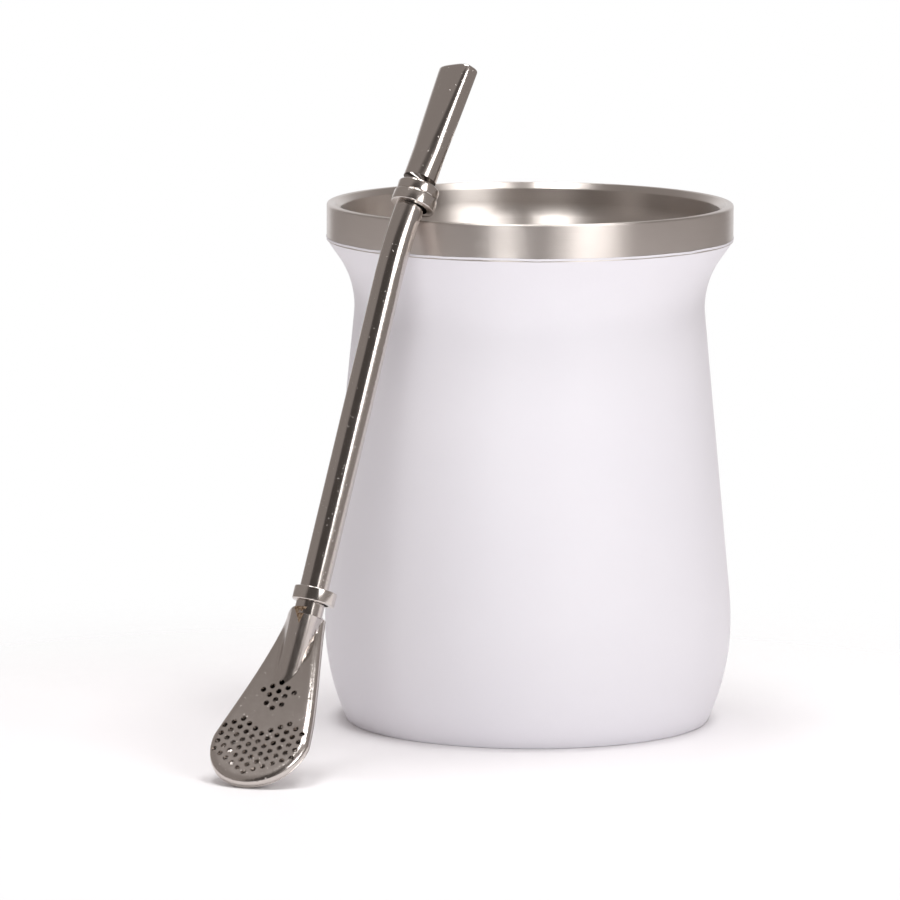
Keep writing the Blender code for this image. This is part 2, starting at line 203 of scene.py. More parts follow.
coating, shader = start_finish("powder_coating", (0.80, 0.785, 0.83), 0.0, 0.42)
shader.inputs["Specular IOR Level"].default_value = 0.45
where = place_in_mm(coating)
peel = add_node(coating, "ShaderNodeTexNoise", {"Scale": 0.55, "Detail": 2.0})
grain = add_node(coating, "ShaderNodeTexNoise", {"Scale": 4.0, "Detail": 2.0})
tone = add_node(coating, "ShaderNodeTexNoise", {"Scale": 0.03, "Detail": 3.0})
for pattern in (peel, grain, tone):
    join(coating, where, pattern.inputs["Vector"])
peel_bump = bump_from(coating, peel.outputs["Fac"], 0.035, 0.6)
grain_bump = bump_from(coating, grain.outputs["Fac"], 0.008, 0.5, peel_bump)
join(coating, grain_bump.outputs["Normal"], shader.inputs["Normal"])
shades = add_node(coating, "ShaderNodeValToRGB")
shades.color_ramp.elements[0].color = (0.775, 0.762, 0.812, 1)
shades.color_ramp.elements[1].color = (0.825, 0.81, 0.85, 1)
join(coating, tone.outputs["Fac"], shades.inputs["Fac"])
join(coating, shades.outputs["Color"], shader.inputs["Base Color"])

# %% [markdown]
# ## The coated wall
# The outer wall was spun or pressed from tube: a small round at the foot, a full belly, a gentle cone up to
# the waist, and a flare that carries the rim. The profile is drawn from the middle of the base upwards, with
# the bends of the real curve. The coating ends in a slightly uneven edge just under the bare band, because
# the band was masked before spraying, so the top ring of vertices gets a little waviness.

# %% Turn the coated wall
RIM = 40.0
BELLY, BELLY_HEIGHT = 40.1, 19.8
FOOT_LEAN, CONE_LEAN, FLARE_LEAN = 24.5, -5.5, 35
WAIST_START = 80.5
SHOULDER_BEND, WAIST_BEND, BAND_BEND = 57.5, 17.0, 1.5
FOOT_ROUND = 0.5
COATING_TOP, COATING_ROUND = 95.85, 0.1
TUCKED_IN, TUCKED_DOWN = 0.6, 1.0
SLOW_WAVE, QUICK_WAVE = 0.16, 0.07
CUP_SIDES = 256
foot_top = FOOT_ROUND * (1 - math.sin(math.radians(FOOT_LEAN)))
BELLY_BEND = (BELLY_HEIGHT - foot_top) / math.sin(math.radians(FOOT_LEAN))
foot_radius = BELLY - BELLY_BEND + (BELLY_BEND - FOOT_ROUND) * math.cos(math.radians(FOOT_LEAN))


def draw_side(bm, pen, lean, inwards, flare_end):
    """The belly, cone, waist and flare, from this lean up, some way inside the outer skin."""
    pen = bend_to(bm, pen, lean, 0, BELLY_BEND - inwards, 12)
    pen = bend_to(bm, pen, 0, CONE_LEAN, SHOULDER_BEND - inwards, 6)
    rise = WAIST_START + inwards * math.sin(math.radians(CONE_LEAN)) - pen.co.z
    pen = run_along(bm, pen, CONE_LEAN, rise / math.cos(math.radians(CONE_LEAN)))
    pen = bend_to(bm, pen, CONE_LEAN, FLARE_LEAN, WAIST_BEND + inwards, 18)
    return run_along(bm, pen, FLARE_LEAN, (flare_end - pen.co.x) / math.sin(math.radians(FLARE_LEAN)))


bm = bmesh.new()
pen = pen_down(bm, 0, 0)
pen = run_to(bm, pen, foot_radius, 0)
pen = bend_to(bm, pen, 90, FOOT_LEAN, FOOT_ROUND, 5)
pen = draw_side(bm, pen, FOOT_LEAN, 0, RIM - BAND_BEND * (1 - math.cos(math.radians(FLARE_LEAN))))
pen = bend_to(bm, pen, FLARE_LEAN, 0, BAND_BEND, 6)
print("flare ends at", round(pen.co.x, 2), round(pen.co.z, 2))
pen = run_to(bm, pen, RIM, COATING_TOP - COATING_ROUND)
pen = bend_to(bm, pen, 0, -90, COATING_ROUND, 3)
pen = run_to(bm, pen, RIM - TUCKED_IN, COATING_TOP)
pen = run_to(bm, pen, RIM - TUCKED_IN, COATING_TOP - TUCKED_DOWN)
turn_on_lathe(bm, CUP_SIDES)
for vert in bm.verts:
    if vert.co.z > COATING_TOP - 0.5:
        slow = noise.noise(Vector((vert.co.x * 0.12, vert.co.y * 0.12, 3)))
        quick = noise.noise(Vector((vert.co.x * 0.7, vert.co.y * 0.7, 9)))
        vert.co.z += SLOW_WAVE * slow + QUICK_WAVE * quick
coated_wall = make_piece("coated_wall", bm, coating, "cup_shell")

# %% [markdown]
# ## Steel brushed round the axis
# The band, the lip and the inside were ground on a lathe with an abrasive belt, so fine lines run round the
# axis. Such steel smears a highlight up and down, across its lines, which the shader's anisotropy does. The
# lines themselves are noise that hardly changes round the cup but changes fast with height and radius.


# %% Make the brushed steel
def ringed_place(finish, round_scale, line_scale):
    """Coordinates that run slowly round the axis and fast along the profile."""
    where = add_node(finish, "ShaderNodeTexCoord")
    parts = add_node(finish, "ShaderNodeSeparateXYZ")
    join(finish, where.outputs["Object"], parts.inputs["Vector"])
    flat = add_node(finish, "ShaderNodeCombineXYZ")
    join(finish, parts.outputs["X"], flat.inputs["X"])
    join(finish, parts.outputs["Y"], flat.inputs["Y"])
    radius = add_node(finish, "ShaderNodeVectorMath", operation="LENGTH")
    join(finish, flat.outputs["Vector"], radius.inputs[0])
    across = add_node(finish, "ShaderNodeMath", {1: -0.9}, operation="MULTIPLY_ADD")
    join(finish, radius.outputs["Value"], across.inputs[0])
    join(finish, parts.outputs["Z"], across.inputs[2])
    lines = add_node(finish, "ShaderNodeCombineXYZ")
    join(finish, parts.outputs["X"], lines.inputs["X"])
    join(finish, parts.outputs["Y"], lines.inputs["Y"])
    join(finish, across.outputs["Value"], lines.inputs["Z"])
    scale = [round_scale / MM, round_scale / MM, line_scale / MM]
    stretched = add_node(finish, "ShaderNodeMapping", {"Scale": scale})
    join(finish, lines.outputs["Vector"], stretched.inputs["Vector"])
    return stretched.outputs["Vector"]


def between(finish, amount, low, high):
    """Turn an amount from 0 to 1 into one from low to high."""
    spread = add_node(finish, "ShaderNodeMapRange", {"To Min": low, "To Max": high})
    join(finish, amount, spread.inputs["Value"])
    return spread.outputs["Result"]


brushed, shader = start_finish("brushed_steel", (0.66, 0.61, 0.575), 1.0, 0.3)
shader.inputs["Anisotropic"].default_value = 1.0
shader.inputs["Anisotropic Rotation"].default_value = 0.25
round_axis = add_node(brushed, "ShaderNodeTangent", direction_type="RADIAL", axis="Z")
join(brushed, round_axis.outputs["Tangent"], shader.inputs["Tangent"])
scratches = add_node(brushed, "ShaderNodeTexNoise", {"Scale": 1.0, "Detail": 4.0, "Roughness": 0.7})
join(brushed, ringed_place(brushed, 0.05, 7.0), scratches.inputs["Vector"])
streaks = add_node(brushed, "ShaderNodeTexNoise", {"Scale": 1.0, "Detail": 3.0})
join(brushed, ringed_place(brushed, 0.12, 1.3), streaks.inputs["Vector"])
join(brushed, between(brushed, streaks.outputs["Fac"], 0.27, 0.42), shader.inputs["Roughness"])
line_bump = bump_from(brushed, scratches.outputs["Fac"], 0.03, 0.7)
join(brushed, line_bump.outputs["Normal"], shader.inputs["Normal"])

# %% [markdown]
# ## The steel inside, lip and band
# Inside the coated wall stands a second steel cup. Its top is folded out into the lip and down into the band,
# and it is welded there to the outer wall, so that the air between the two walls keeps the drink warm. One
# profile draws it all: up the inside, over the lip, down the band, and back down its own hidden outer side.

# %% Turn the steel liner
WALL, LINER_SHEET = 3.2, 0.8
FLOOR, FLOOR_CORNER = 6.0, 6.0
FLARE_TOP, HIDDEN_FLARE_TOP = 36.3, 37.0
INSIDE_BEND = 5.0
LIP_FOOT, LIP_LEAN, LIP_SLOPE, LIP_ROUND = 101.14, 49.4, 1.317, 0.4
BAND, BAND_OVERLAP = 39.93, 0.6
FOLD_RADIUS, FOLD_HEIGHT = 38.2, 99.9


def draw_cup_skin(bm, inwards, floor, corner, flare_end):
    """From the middle of the floor, round its corner and up the side to the end of the flare."""
    reach = BELLY_BEND - inwards - corner
    drop = BELLY_HEIGHT - floor - corner
    lean = math.degrees(math.asin(drop / reach))
    pen = pen_down(bm, 0, floor)
    pen = run_to(bm, pen, BELLY - BELLY_BEND + math.sqrt(reach**2 - drop**2), floor)
    pen = bend_to(bm, pen, 90, lean, corner, 12)
    return draw_side(bm, pen, lean, inwards, flare_end)


bm = bmesh.new()
pen = draw_cup_skin(bm, WALL, FLOOR, FLOOR_CORNER, FLARE_TOP)
pen = bend_to(bm, pen, FLARE_LEAN, 0, INSIDE_BEND, 8)
pen = run_to(bm, pen, pen.co.x, LIP_FOOT)
pen = bend_to(bm, pen, 0, LIP_LEAN, LIP_ROUND, 5)
pen = run_along(bm, pen, LIP_LEAN, LIP_SLOPE)
pen = bend_to(bm, pen, LIP_LEAN, 90, LIP_ROUND, 5)
print("lip", round(pen.co.x, 2), round(pen.co.z, 2))
pen = run_to(bm, pen, BAND - LIP_ROUND, pen.co.z)
pen = bend_to(bm, pen, 90, 180, LIP_ROUND, 6)
pen = run_to(bm, pen, BAND, COATING_TOP - BAND_OVERLAP)
pen = run_to(bm, pen, BAND - LINER_SHEET, COATING_TOP - BAND_OVERLAP)
pen = run_to(bm, pen, BAND - LINER_SHEET, FOLD_HEIGHT)
pen = run_to(bm, pen, FOLD_RADIUS, FOLD_HEIGHT)
below, outside = FLOOR - LINER_SHEET, FLOOR_CORNER + LINER_SHEET
hidden = draw_cup_skin(bm, WALL - LINER_SHEET, below, outside, HIDDEN_FLARE_TOP)
run_to(bm, hidden, FOLD_RADIUS, FOLD_HEIGHT)
turn_on_lathe(bm, CUP_SIDES)
steel_cup = make_piece("steel_liner_and_band", bm, brushed, "steel_liner")

# %% [markdown]
# ## The straw's frame
# The straw stands in front of the cup on its left, leans back onto the rim and is turned a little about its
# own axis. Its pieces are drawn upright, with X to the viewer's right, Y backwards and Z up the stem, and
# one matrix then leans them all together. Above the rim the tube bends back, so a second matrix carries what
# sits past the bend.

# %% Lean the straw
STEM = 2.77
STEM_START, BEND_START, BEND_RADIUS, BEND_DEGREES = 24.4, 90.6, 67.1, 12.1
STRAW_FOOT = (-47.86, -65.67, 6.96)
HEADING, LEAN_BACK, OWN_TURN = math.radians(-38.53), math.radians(-21.06), math.radians(10.75)
lean_back = Matrix.Rotation(HEADING, 4, "Z") @ Matrix.Rotation(LEAN_BACK, 4, "X")
own_turn = Matrix.Rotation(OWN_TURN, 4, "Z")
straw_place = Matrix.Translation(STRAW_FOOT) @ lean_back @ own_turn
bend_length = BEND_RADIUS * math.radians(BEND_DEGREES)


def past_bend(distance):
    """Where a piece sits that begins this far up the tube, above the bend."""
    angle = math.radians(BEND_DEGREES)
    back = BEND_RADIUS * (1 - math.cos(angle))
    up = BEND_START + BEND_RADIUS * math.sin(angle)
    foot = Matrix.Translation((0, back, up)) @ Matrix.Rotation(-angle, 4, "X")
    return straw_place @ foot @ Matrix.Translation((0, 0, distance - BEND_START - bend_length))


print("bend ends", round(BEND_START + bend_length, 1), "mm up the tube")

# %% [markdown]
# ## Polished steel with small pits
# The tube was polished lengthwise by hand. It mirrors its surroundings, but not perfectly: there are tiny
# pits and dots of residue, and faint lines along the tube. The pits come from a Voronoi pattern that keeps
# only a few of its cells.


# %% Make the polished steels
def own_mm(finish, stretch=(1, 1, 1)):
    """The piece's own upright coordinates in millimetres, which lean with the straw."""
    where = add_node(finish, "ShaderNodeAttribute", attribute_name="own_place")
    scale = add_node(finish, "ShaderNodeMapping", {"Scale": stretch})
    join(finish, where.outputs["Vector"], scale.inputs["Vector"])
    return scale.outputs["Vector"]


def add_pits(finish, scale, share, below):
    """Small round pits in a share of the cells of a Voronoi pattern."""
    cells = add_node(finish, "ShaderNodeTexVoronoi", {"Scale": scale})
    join(finish, own_mm(finish), cells.inputs["Vector"])
    picked = add_node(finish, "ShaderNodeSeparateColor")
    join(finish, cells.outputs["Color"], picked.inputs["Color"])
    kept = add_node(finish, "ShaderNodeMath", {1: share}, operation="LESS_THAN")
    join(finish, picked.outputs["Red"], kept.inputs[0])
    fall = {"From Min": 0.12, "From Max": 0.3, "To Min": 1.0, "To Max": 0.0}
    dot = add_node(finish, "ShaderNodeMapRange", fall)
    join(finish, cells.outputs["Distance"], dot.inputs["Value"])
    pit = add_node(finish, "ShaderNodeMath", operation="MULTIPLY")
    join(finish, kept.outputs["Value"], pit.inputs[0])
    join(finish, dot.outputs["Result"], pit.inputs[1])
    return bump_from(finish, pit.outputs["Value"], 0.05, 0.8, below)


def make_polish(name, colour, smooth, rough, pits):
    finish, shader = start_finish(name, colour, 1.0, smooth)
    lines = add_node(finish, "ShaderNodeTexNoise", {"Scale": 1.0, "Detail": 3.0})
    join(finish, own_mm(finish, (5.0, 5.0, 0.25)), lines.inputs["Vector"])
    cloud = add_node(finish, "ShaderNodeTexNoise", {"Scale": 0.6, "Detail": 4.0})
    join(finish, own_mm(finish), cloud.inputs["Vector"])
    join(finish, between(finish, cloud.outputs["Fac"], smooth, rough), shader.inputs["Roughness"])
    bump = bump_from(finish, lines.outputs["Fac"], 0.004, 0.5)
    bump = add_pits(finish, 2.2, pits, bump)
    join(finish, bump.outputs["Normal"], shader.inputs["Normal"])
    return finish


stem_polish = make_polish("polished_tube_steel", (0.60, 0.555, 0.525), 0.10, 0.22, 0.10)
collar_polish = make_polish("polished_collar_steel", (0.66, 0.615, 0.58), 0.12, 0.22, 0.04)
sheet_polish = make_polish("polished_sheet_steel", (0.60, 0.555, 0.525), 0.16, 0.28, 0.05)

# %% [markdown]
# ## The stem
# The stem is plain drawn tube. It starts as a ring of edges that is pulled up to the bend, spun round the
# bend's centre, and pulled on to the upper collar. The skin then gets its half-millimetre wall, inwards.


# %% Draw the tube
def only_verts(geometry):
    return [thing for thing in geometry if isinstance(thing, bmesh.types.BMVert)]


def only_edges(geometry):
    return [thing for thing in geometry if isinstance(thing, bmesh.types.BMEdge)]


def pull(bm, edges, by):
    """Extrude a ring of edges and give back what was pulled."""
    pulled = bmesh.ops.extrude_edge_only(bm, edges=edges)["geom"]
    bmesh.ops.translate(bm, vec=by, verts=only_verts(pulled))
    return pulled


TUBE_WALL = 0.5
STEM_END = 110.9
bm = bmesh.new()
start = Matrix.Translation((0, 0, STEM_START))
bmesh.ops.create_circle(bm, cap_ends=False, radius=STEM, segments=72, matrix=start)
ring = only_edges(pull(bm, bm.edges[:], (0, 0, BEND_START - STEM_START)))
ring += list({vert for edge in ring for vert in edge.verts})
bent = bmesh.ops.spin(
    bm,
    geom=ring,
    cent=(0, BEND_RADIUS, BEND_START),
    axis=(1, 0, 0),
    angle=-math.radians(BEND_DEGREES),
    steps=24,
)
straight = STEM_END - BEND_START - bend_length
heading = Matrix.Rotation(-math.radians(BEND_DEGREES), 3, "X") @ Vector((0, 0, straight))
pull(bm, only_edges(bent["geom_last"]), heading)
stem = make_piece("straw_tube", bm, stem_polish, "straw_stem", straw_place, TUBE_WALL)

# %% [markdown]
# ## The mouthpiece
# The last stretch of tube was squeezed between two jaws, so it goes from round to a flat oval with soft
# corners, and its open end is rolled in a little to be kind to the lips. Rings of edges are pulled up one
# after another, and each is reshaped: the power of the oval says how square it is.


# %% Shape the mouthpiece
def shape_ring(verts, height, half_width, half_depth, power, turn):
    """Lay a ring of vertices out as an oval, turned about the axis."""
    count = len(verts)
    for index, vert in enumerate(verts):
        angle = math.tau * index / count
        x = math.copysign(abs(math.cos(angle)) ** (2 / power), math.cos(angle)) * half_width
        y = math.copysign(abs(math.sin(angle)) ** (2 / power), math.sin(angle)) * half_depth
        vert.co = Matrix.Rotation(turn, 3, "Z") @ Vector((x, y, height))


MOUTH_START, MOUTH_END = 110.7, 136.3
MOUTH_ROUND, MOUTH_WIDE, MOUTH_DEEP = 3.22, 4.45, 2.2
FLAT_TURN = math.radians(-24)
TIP_ROUND = 0.55
SQUARE_FROM, SQUARENESS = 0.3, 1.3
bm = bmesh.new()
ring = bmesh.ops.create_circle(bm, cap_ends=False, radius=MOUTH_ROUND, segments=96)["verts"]
length = MOUTH_END - MOUTH_START - TIP_ROUND
rings = [(step / 20, 0) for step in range(1, 21)] + [(1, roll) for roll in (20, 40, 60, 80)]
for part, roll in rings:
    edges = [edge for edge in bm.edges if all(vert in ring for vert in edge.verts)]
    pulled = bmesh.ops.extrude_edge_only(bm, edges=edges)["geom"]
    upper = set(only_verts(pulled))
    ring = [next(e.other_vert(v) for e in v.link_edges if e.other_vert(v) in upper) for v in ring]
    square = max(0, (part - SQUARE_FROM) / (1 - SQUARE_FROM))
    rolled_in = TIP_ROUND * (1 - math.cos(math.radians(roll)))
    height = length * part + TIP_ROUND * math.sin(math.radians(roll))
    wide = MOUTH_ROUND + (MOUTH_WIDE - MOUTH_ROUND) * part - rolled_in
    deep = MOUTH_ROUND + (MOUTH_DEEP - MOUTH_ROUND) * part - rolled_in
    shape_ring(ring, height, wide, deep, 2 + SQUARENESS * square, FLAT_TURN)
mouth_at = past_bend(MOUTH_START)
mouthpiece = make_piece("straw_mouthpiece_flat", bm, stem_polish, "straw_mouthpiece", mouth_at, TUBE_WALL)

# %% [markdown]
# ## The collars
# Two turned rings are slipped over the tube. The lower one covers the joint with the filter, and the upper
# one, with a step and a groove, carries the mouthpiece. Both sit a little to the right of the tube's axis.
# Their edges are turned nearly sharp, with small rounds that catch a thin line of light.

# %% Turn the collars
COLLAR_ASIDE = 0.45
COLLAR_BORE = STEM + 0.22
COLLAR_EDGE = 0.2
LOWER_AT, LOWER_RADIUS, LOWER_TALL = 27.0, 4.12, 2.6
UPPER_AT, STEP_RADIUS, STEP_TALL = 106.1, 4.27, 2.3
GROOVE_RADIUS, GROOVE_SLOPE, GROOVE_FLOOR, GROOVE_ROUND = 3.84, 0.05, 0.1, 0.3
BEAD_RADIUS, BEAD_SHOULDER, BEAD_ROUND = 4.1, 4.1, 0.45
RING_SIDES = 96


def draw_ring(bm, radius, height):
    """The flat foot and straight side of a ring, with small rounds. Gives back where it began and ends."""
    first = pen_down(bm, COLLAR_BORE, 0)
    pen = run_to(bm, first, radius - COLLAR_EDGE, 0)
    pen = bend_to(bm, pen, 90, 0, COLLAR_EDGE, 6)
    pen = run_to(bm, pen, pen.co.x, height - COLLAR_EDGE)
    return first, bend_to(bm, pen, 0, -90, COLLAR_EDGE, 5)


def close_ring(bm, pen, first):
    """Back to the bore and down to where the ring began, then once round."""
    pen = run_to(bm, pen, COLLAR_BORE, pen.co.z)
    bm.edges.new((pen, first))
    turn_on_lathe(bm, RING_SIDES)


bm = bmesh.new()
first, pen = draw_ring(bm, LOWER_RADIUS, LOWER_TALL)
close_ring(bm, pen, first)
aside = Matrix.Translation((COLLAR_ASIDE, 0, 0))
lower_at = straw_place @ Matrix.Translation((0, 0, LOWER_AT)) @ aside
lower = make_piece("lower_ring", bm, collar_polish, "lower_collar", lower_at)

bm = bmesh.new()
first, pen = draw_ring(bm, STEP_RADIUS, STEP_TALL)
pen = run_to(bm, pen, GROOVE_RADIUS, pen.co.z + GROOVE_SLOPE)
pen = run_to(bm, pen, GROOVE_RADIUS, pen.co.z + GROOVE_FLOOR)
pen = bend_to(bm, pen, 60, 0, GROOVE_ROUND, 4)
pen = run_to(bm, pen, BEAD_RADIUS, BEAD_SHOULDER)
pen = bend_to(bm, pen, 0, -90, BEAD_ROUND, 6)
print("upper ring is", round(pen.co.z, 2), "mm tall")
close_ring(bm, pen, first)
upper = make_piece("upper_ring", bm, collar_polish, "upper_collar", past_bend(UPPER_AT) @ aside)

# %% [markdown]
# ## The filter spoon
# The filter is two pieces of sheet steel, a flat front with the holes and a dished back, joined all round
# their rims. Each starts as a flat outline made of Bezier curves, mirrored to be the same on both sides. The
# whole spoon curves forwards and hangs a little askew, so both pieces are drawn flat and straight, and then
# each point is turned and bent by its height. How far a point is from the outline shapes the rims later, so
# the outline's points are kept in a tree that finds the nearest one.

# %% Draw the outline and the bend
NECK, NECK_CUT, NECK_DRAWN = Vector((3.8, 26.5, 0)), 26.1, 30.0
NECK_HANDLE, BOWL_HANDLE = Vector((4.8, 18.8, 0)), Vector((8.8, 6.3, 0))
BOWL = Vector((10.0, -1.1, 0))
TIP_LENGTH = 10.6
ROUND = 0.5523
SPOON_TILT, SPOON_CURVE = math.radians(25.7), 112.0
SPOON_FORWARD, SPOON_ASIDE = 6.28, -0.3
SPOON_PIVOT, SPOON_SKEW = Vector((0, -1.0, 0)), Matrix.Rotation(math.radians(3.4), 3, "Z")
ACROSS, ALONG = Vector((1, 0, 0)), Vector((0, 1, 0))


def draw_outline(bm, height):
    """One flat face in the spoon's outline. Its neck is drawn too long, to be cut off later."""
    side = interpolate_bezier(NECK, NECK_HANDLE, BOWL_HANDLE, BOWL, 40)
    low = Vector((0, BOWL.y - TIP_LENGTH, 0))
    below, beside = BOWL - Vector((0, TIP_LENGTH * ROUND, 0)), low + Vector((BOWL.x * ROUND, 0, 0))
    tip = interpolate_bezier(BOWL, below, beside, low, 30)
    pen = bm.verts.new((0, NECK_DRAWN, height))
    for point in [Vector((NECK.x, NECK_DRAWN, 0))] + side + tip[1:]:
        pen = bmesh.ops.extrude_vert_indiv(bm, verts=[pen])["verts"][0]
        pen.co = (point.x, point.y, height)
    bmesh.ops.mirror(bm, geom=bm.verts[:] + bm.edges[:], merge_dist=0.01, axis="X")
    bmesh.ops.edgeloop_fill(bm, edges=bm.edges[:])
    if bm.faces[:][0].normal.z < 0:
        bmesh.ops.reverse_faces(bm, faces=bm.faces)


def cut_in_strips(bm, axis, first, last, width, above=-100):
    """Cut the faces above a height along lines a little apart, so that they can be bent."""
    for step in range(int((last - first) / width) + 1):
        faces = [face for face in bm.faces if face.calc_center_median().y > above]
        edges = list({edge for face in faces for edge in face.edges})
        verts = list({vert for face in faces for vert in face.verts})
        cut_at = axis * (first + step * width)
        bmesh.ops.bisect_plane(bm, geom=verts + edges + faces, dist=1e-4, plane_co=cut_at, plane_no=axis)


def cut_off(bm, at, outwards):
    """Cut off whatever lies past a line."""
    everything = bm.verts[:] + bm.edges[:] + bm.faces[:]
    bmesh.ops.bisect_plane(bm, geom=everything, plane_co=at, plane_no=outwards, clear_outer=True)


def on_spoon(flat):
    """A point of the flat drawing, in the straw's frame."""
    turned = SPOON_PIVOT + SPOON_SKEW @ (flat - SPOON_PIVOT)
    tilt = SPOON_TILT - turned.y / SPOON_CURVE
    forward = SPOON_FORWARD + SPOON_CURVE * (math.cos(SPOON_TILT) - math.cos(tilt))
    up = SPOON_CURVE * (math.sin(SPOON_TILT) - math.sin(tilt))
    across = turned.x + SPOON_ASIDE
    return Vector((across, -forward - flat.z * math.cos(tilt), up + flat.z * math.sin(tilt)))


def bend_spoon(bm):
    for vert in bm.verts:
        vert.co = on_spoon(vert.co)


bm = bmesh.new()
draw_outline(bm, 0)
rim_points = [vert.co.copy() for vert in bm.faces[:][0].verts]
bm.free()
rim_tree = KDTree(len(rim_points))
for index, point in enumerate(rim_points):
    rim_tree.insert(point, index)
rim_tree.balance()


def from_rim(x, y):
    """How far a point of the flat drawing is from the outline."""
    point = Vector((x, y, 0))
    near = rim_tree.find(point)[1]
    reach = []
    for start, end in ((near - 1, near), (near, (near + 1) % len(rim_points))):
        part = intersect_point_line(point, rim_points[start], rim_points[end])[1]
        reach.append((rim_points[start].lerp(rim_points[end], min(max(part, 0), 1)) - point).length)
    return min(reach)


print("spoon", 2 * BOWL.x, "mm wide, outline of", len(rim_points), "points")

# %% [markdown]
# ## The perforated front
# The front is drawn flat: a few rings of faces along the rim, then the sheet with its holes, which a
# triangle fill makes. The holes are punched in staggered rows, in two groups, and each is a ring of edges
# with a second ring inside it, so that the sheet stays flat up to the hole's edge. The drawing is then cut
# into small strips and every point takes its height: it sinks towards the rim along an ellipse, and towards
# the tube it rises onto the half cone that was hammered round the tube, with a soft hollow on its left and a
# crisp fold on its right. Modifiers then give the sheet its thickness and round its edges a little.

# %% Punch the front
SHEET = 0.5
RIM_WIDTH, RIM_DROP, RIM_SIDE = 1.5, 1.15, 0.35
RIM_RINGS = (0.02, 0.04, 0.07, 0.12, 0.17)
EDGE_ROUND = 0.07
HOLE, HOLE_FLAT, PITCH = 0.55, 0.70, 1.89
lower_columns = [(0.0, 6), (-0.5, 6), (-1.0, 6), (-1.5, 6), (-1.0, 5), (-0.5, 4)]
upper_columns = [(0.0, 4), (0.5, 3), (1.0, 1)]


def hole_places():
    """The middle of each hole: columns side by side, half a pitch out of step."""
    for first, columns in ((0.0, lower_columns), (-6.16, upper_columns)):
        for column, (start, count) in enumerate(columns):
            for side in (1, -1) if column else (1,):
                for row in range(count):
                    x = side * column * PITCH * math.sqrt(3) / 2
                    yield Vector((x, -(first + start + row) * PITCH, 0))


def rim_drop(x, y):
    """How far the sheet sinks towards its rim, along a quarter of an ellipse."""
    left = max(1 - from_rim(x, y) / RIM_WIDTH, 0)
    return RIM_DROP * (1 - math.sqrt(1 - left * left))


CONE_FOOT = 12.0
CONE_RADIUS, CONE_SWELL = 2.45, 0.5
CONE_SUNK, CONE_RISE = -2.3, 4.5
CONE_ASIDE, CONE_DRIFT = 0.1, 0.5
LEFT_STEEPEST, RIGHT_STEEPEST = math.radians(62), math.radians(84)
CRISP, SOFT = 0.12, 1.2
CONE_LEAN_ASIDE = 0.25


def cone_height(x, y):
    """How far the sheet is raised where it covers the tube."""
    up = min((y - CONE_FOOT) / (NECK_CUT - CONE_FOOT), 1)
    radius = CONE_RADIUS + CONE_SWELL * up
    middle = CONE_SUNK + CONE_RISE * up
    aside = x - CONE_ASIDE - CONE_DRIFT * up
    soft = CRISP + SOFT * min(max((0.8 - aside) / 2, 0), 1)
    steepest = LEFT_STEEPEST if aside < 0 else RIGHT_STEEPEST
    turn = math.asin(min(abs(aside) / radius, 1))
    if turn < steepest:
        height = middle + radius * math.cos(turn)
    else:
        past = abs(aside) - radius * math.sin(steepest)
        height = middle + radius * math.cos(steepest) - past * math.tan(steepest)
    blend = max(soft - abs(height), 0) / soft
    return max(height, 0) + blend * blend * soft / 4


bm = bmesh.new()
draw_outline(bm, 0)
top = bm.faces[:]
pull(bm, bm.edges[:], (0, 0, -RIM_SIDE))
for width in RIM_RINGS:
    bmesh.ops.inset_region(bm, faces=top, thickness=width, depth=0, use_even_offset=True)
sheet_edges = top[0].edges[:]
bmesh.ops.delete(bm, geom=top, context="FACES_ONLY")
rings = []
for place in hole_places():
    at = Matrix.Translation(place)
    made = bmesh.ops.create_circle(bm, cap_ends=False, radius=HOLE_FLAT, segments=20, matrix=at)["verts"]
    edges = list({edge for vert in made for edge in vert.link_edges})
    rings.append((place, edges))
    sheet_edges += edges
bmesh.ops.triangle_fill(bm, edges=sheet_edges, use_beauty=True, normal=(0, 0, 1))
shrink = HOLE / HOLE_FLAT
for place, edges in rings:
    inner = only_verts(bmesh.ops.extrude_edge_only(bm, edges=edges)["geom"])
    bmesh.ops.scale(bm, vec=(shrink, shrink, 1), space=Matrix.Translation(-place), verts=inner)
cut_off(bm, ALONG * NECK_CUT, ALONG)
cut_in_strips(bm, ALONG, first=-11.4, last=NECK_CUT, width=0.5)
cut_in_strips(bm, ACROSS, first=-9.8, last=9.8, width=0.4)
cut_in_strips(bm, ACROSS, first=-4.35, last=4.8, width=0.23, above=CONE_FOOT - 1.5)
for vert in bm.verts:
    height = cone_height(vert.co.x, vert.co.y)
    vert.co.z += height - rim_drop(vert.co.x, vert.co.y)
    vert.co.x += CONE_LEAN_ASIDE * height
bend_spoon(bm)
print(len(rings), "holes")
front = make_piece("filter_spoon_front", bm, sheet_polish, "filter_front", straw_place, crease=28)


def add_sheet_wall(piece):
    wall = piece.modifiers.new("wall", "SOLIDIFY")
    wall.thickness = SHEET * MM
    wall.offset = -1


add_sheet_wall(front)
rounding = front.modifiers.new("rounding", "BEVEL")
rounding.limit_method = "ANGLE"
rounding.angle_limit = math.radians(60)
rounding.width = EDGE_ROUND * MM
rounding.segments = 2
rounding.harden_normals = True

# %% [markdown]
# ## The dished back
# The back starts from the same outline. A short side is pulled down, and its bottom face is cut into a fine
# grid. Each point of the grid then sinks by its distance from the rim, along a sine curve, which presses a
# smooth dish. Towards the neck the dish gets shallow, so the depth is scaled by the height, and at its very
# end the back is pinched flat against the tube.

# %% Press the back
DISH, DISH_WIDTH, BACK_SIDE = 2.2, 3.9, 0.25
SEAM = -RIM_DROP - RIM_SIDE - 0.04
NECK_DEPTH = 0.27
PINCH_FROM, PINCHED = 23.0, -1.05


